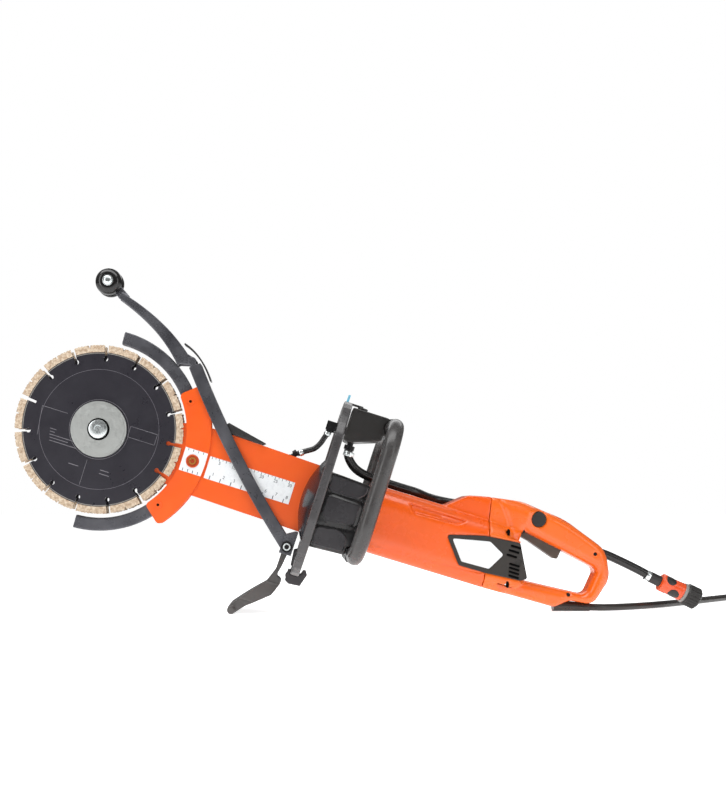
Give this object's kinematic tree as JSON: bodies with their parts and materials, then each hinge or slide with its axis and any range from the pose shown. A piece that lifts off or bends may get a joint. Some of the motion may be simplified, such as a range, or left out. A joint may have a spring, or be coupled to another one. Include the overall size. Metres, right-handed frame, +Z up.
{
  "type": "concrete cut-off saw",
  "caption": "Electric concrete cut-off saw with twin diamond blades on a slim belt-driven arm, sprung guard link with guide rollers, splash shield, loop and D handles.",
  "frame": {"origin": "on the floor, below the centre of the box round the saw without its free hose, coupler, cord, coil and plug", "axes": "+X from the blades towards the rear handle, +Y across the machine towards its far side, +Z up"},
  "size_m": [1.213, 0.3642, 0.4675],
  "materials": {
    "orange_plastic": "satin moulded housing plastic",
    "orange_casting": "powder-coated metal",
    "black_casting": "black coated die casting",
    "black_plastic": "moulded black plastic",
    "grey_steel": "grey coated steel",
    "dark_steel": "dark coated steel",
    "blade_steel": "dark printed steel core",
    "diamond_segment": "sintered diamond segment",
    "flange_alloy": "turned alloy",
    "aluminium": "turned",
    "bright_steel": "ground steel",
    "zinc_steel": "zinc plated",
    "core_iron": "laminated core with windings",
    "brass": "pressed",
    "grey_rubber": "satin grey rubber sleeve",
    "black_rubber": "satin black rubber",
    "trigger_plastic": "moulded",
    "blue_plastic": "moulded",
    "label_film": "printed film on a thin plate",
    "clear_sheet": "clear polycarbonate sheet"
  },
  "bodies": {
    "frame": {"motor_housing": "orange_plastic", "rear_handle_near": "orange_plastic", "rear_handle_far": "orange_plastic", "gear_housing": "black_casting", "gear_covers": "black_plastic", "arm_frame": "orange_casting", "arm_cover_near": "orange_casting", "arm_cover_far": "orange_casting", "arm_screws": "zinc_steel", "fork_plates": "orange_casting", "guard_fingers": "grey_steel", "label_plates": "label_film", "splash_shield": "clear_sheet", "shield_rim": "grey_rubber", "shield_collar": "black_plastic", "shield_clip": "dark_steel", "front_handle": "grey_rubber", "handle_mount": "black_casting", "valve_body": "black_plastic", "water_fittings": "zinc_steel", "feed_hose": "black_rubber", "supply_hose": "black_rubber", "hose_clips": "black_plastic", "deflector": "black_rubber", "pivot_bracket": "grey_steel", "pivot_bolt": "zinc_steel", "side_panels": "black_plastic", "stator": "core_iron", "shaft_bearings": "bright_steel", "brush_gear": "brass", "switch_module": "black_plastic", "housing_screws": "zinc_steel", "drive_belt": "black_rubber", "cable_boot": "black_rubber", "inlet_hose": "black_rubber", "hose_coupler": "orange_plastic", "power_cord": "black_rubber", "cord_coil": "black_rubber", "plug": "black_rubber"},
    "blade_unit": {"spindle": "bright_steel", "driven_pulley": "aluminium", "blade_near": "blade_steel", "blade_far": "blade_steel", "blade_segments": "diamond_segment", "clamp_flanges": "flange_alloy", "blade_bolts": "zinc_steel"},
    "drive_unit": {"pulley_shaft": "bright_steel", "drive_pulley": "aluminium", "crown_gear": "bright_steel"},
    "rotor_unit": {"rotor_shaft": "bright_steel", "armature": "core_iron", "cooling_fan": "black_plastic"},
    "link_unit": {"guard_link": "grey_steel", "hinge_strap": "black_rubber"},
    "arm_unit": {"roller_arm": "grey_steel"},
    "roller_unit": {"guide_rollers": "black_plastic"},
    "foot_unit": {"support_foot": "grey_steel"},
    "trigger_unit": {"trigger": "trigger_plastic"},
    "button_unit": {"lock_button": "black_plastic"},
    "lever_unit": {"valve_lever": "blue_plastic"}
  },
  "joints": [
    {"name": "blade_spin", "type": "hinge", "parent": "frame", "child": "blade_unit", "pos_m": [-0.2888, 0, 0.24784], "axis": [0, 1, 0], "continuous": true},
    {"name": "drive_spin", "type": "hinge", "parent": "frame", "child": "drive_unit", "pos_m": [0.04174, 0, 0.1389], "axis": [0, 1, 0], "continuous": true},
    {"name": "rotor_spin", "type": "hinge", "parent": "frame", "child": "rotor_unit", "pos_m": [0.04174, 0, 0.1389], "axis": [0.9537, 0, -0.3007], "continuous": true},
    {"name": "guard_swing", "type": "hinge", "parent": "frame", "child": "link_unit", "pos_m": [-0.03372, 0, 0.08846], "axis": [0, 1, 0], "range_deg": [0, 26]},
    {"name": "arm_fold", "type": "hinge", "parent": "link_unit", "child": "arm_unit", "pos_m": [-0.16227, 0, 0.34011], "axis": [0, 1, 0], "range_deg": [-14, 0], "stiffness_Nm_per_rad": 3, "springref_deg": 20.05, "deforming": ["hinge_strap"]},
    {"name": "roller_spin", "type": "hinge", "parent": "arm_unit", "child": "roller_unit", "pos_m": [-0.27578, 0, 0.44922], "axis": [0, 1, 0], "continuous": true},
    {"name": "foot_swing", "type": "hinge", "parent": "frame", "child": "foot_unit", "pos_m": [-0.03372, 0, 0.08846], "axis": [0, 1, 0], "range_deg": [-6, 0]},
    {"name": "trigger_pull", "type": "hinge", "parent": "frame", "child": "trigger_unit", "pos_m": [0.28622, 0, 0.10953], "axis": [0, 1, 0], "range_deg": [-8, 0], "stiffness_Nm_per_rad": 0.5, "springref_deg": 11.46},
    {"name": "button_press", "type": "slide", "parent": "frame", "child": "button_unit", "axis": [0, 1, 0], "range_m": [0, 0.002], "stiffness_N_per_m": 300, "springref_m": -0.003},
    {"name": "lever_turn", "type": "hinge", "parent": "frame", "child": "lever_unit", "pos_m": [0.06934, 0, 0.27301], "axis": [0.3007, 0, 0.9537], "range_deg": [0, 90]}
  ],
  "couplings": [
    {"joint": "drive_spin", "follows": "blade_spin", "ratio": 1.8462},
    {"joint": "rotor_spin", "follows": "blade_spin", "ratio": 5.5385}
  ]
}
